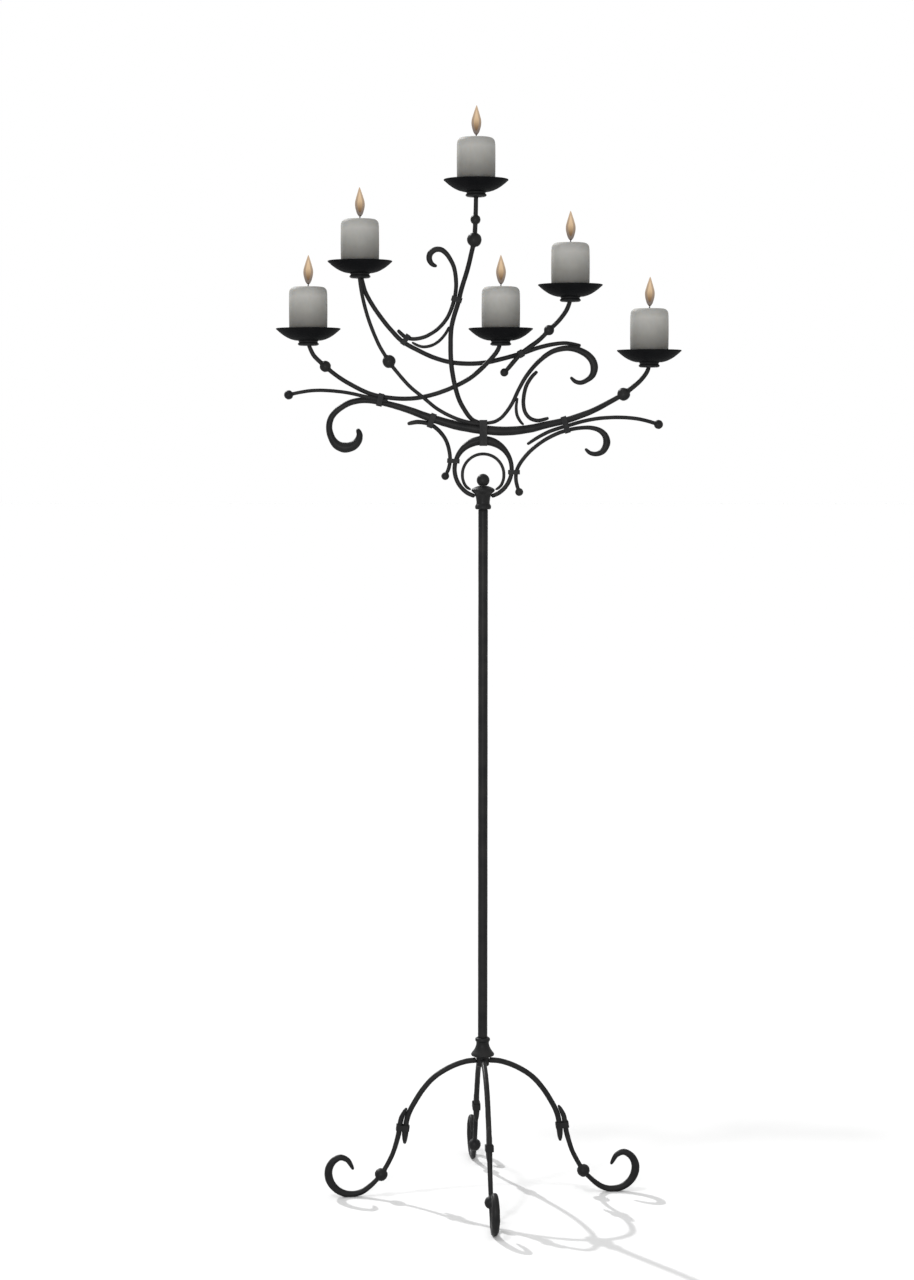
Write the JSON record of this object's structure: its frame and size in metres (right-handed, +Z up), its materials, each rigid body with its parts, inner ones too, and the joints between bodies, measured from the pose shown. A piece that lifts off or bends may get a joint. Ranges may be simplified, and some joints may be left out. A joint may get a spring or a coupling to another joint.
{
  "type": "floor-standing candelabrum",
  "caption": "Wrought-iron floor candelabrum with scrolled legs, a plain stem and a head of forged scrolls that carries pillar candles on drip pans.",
  "frame": {"origin": "on the floor, under the middle of the whole object's box", "axes": "+Z up along the stem, X across the head, and -Y towards the viewer who sees the top arm in front"},
  "size_m": [0.6722, 0.5354, 1.782],
  "materials": {
    "iron": "satin black, hammered",
    "pan_iron": "matte black, spun",
    "wax": "ivory wax, soft satin"
  },
  "bodies": {
    "base": {"leg_front": "iron", "foot_scroll_front": "iron", "leg_collar_front": "iron", "leg_right": "iron", "foot_scroll_right": "iron", "leg_collar_right": "iron", "leg_back": "iron", "foot_scroll_back": "iron", "leg_collar_back": "iron", "leg_left": "iron", "foot_scroll_left": "iron", "leg_collar_left": "iron", "leg_hub": "iron", "base_bell": "iron", "stem_tube": "iron"},
    "head": {"top_bell": "iron", "finial": "iron", "ring": "iron", "inner_ring": "iron", "main_bough": "iron", "left_arm": "iron", "left_tendril": "iron", "second_arm": "iron", "top_arm": "iron", "cross_bar": "iron", "crook_scroll": "iron", "crook_brace": "iron", "right_scroll": "iron", "right_curl": "iron", "right_brace": "iron", "upper_right_arm": "iron", "right_tendril": "iron", "right_bracket": "iron", "left_bracket": "iron", "centre_collar": "iron", "left_collar": "iron", "crook_collar_upper": "iron", "crook_collar_lower": "iron", "upper_right_collar": "iron", "right_collar": "iron", "right_ring_collar": "iron", "left_bracket_collar": "iron", "left_ring_collar": "iron", "pan_1": "pan_iron", "pan_2": "pan_iron", "pan_3": "pan_iron", "pan_4": "pan_iron", "pan_5": "pan_iron", "pan_6": "pan_iron"},
    "pillar_1": {"candle_1": "wax"},
    "pillar_2": {"candle_2": "wax"},
    "pillar_3": {"candle_3": "wax"},
    "pillar_4": {"candle_4": "wax"},
    "pillar_5": {"candle_5": "wax"},
    "pillar_6": {"candle_6": "wax"}
  },
  "joints": [
    {"name": "head_swivel", "type": "hinge", "parent": "base", "child": "head", "pos_m": [0.0075, 0, 1.164], "axis": [0, 0, 1], "continuous": true},
    {"name": "candle_1_lift", "type": "slide", "parent": "head", "child": "pillar_1", "axis": [0, 0, 1], "range_m": [0, 0.06]},
    {"name": "candle_2_lift", "type": "slide", "parent": "head", "child": "pillar_2", "axis": [0, 0, 1], "range_m": [0, 0.06]},
    {"name": "candle_3_lift", "type": "slide", "parent": "head", "child": "pillar_3", "axis": [0, 0, 1], "range_m": [0, 0.06]},
    {"name": "candle_4_lift", "type": "slide", "parent": "head", "child": "pillar_4", "axis": [0, 0, 1], "range_m": [0, 0.06]},
    {"name": "candle_5_lift", "type": "slide", "parent": "head", "child": "pillar_5", "axis": [0, 0, 1], "range_m": [0, 0.06]},
    {"name": "candle_6_lift", "type": "slide", "parent": "head", "child": "pillar_6", "axis": [0, 0, 1], "range_m": [0, 0.06]}
  ]
}
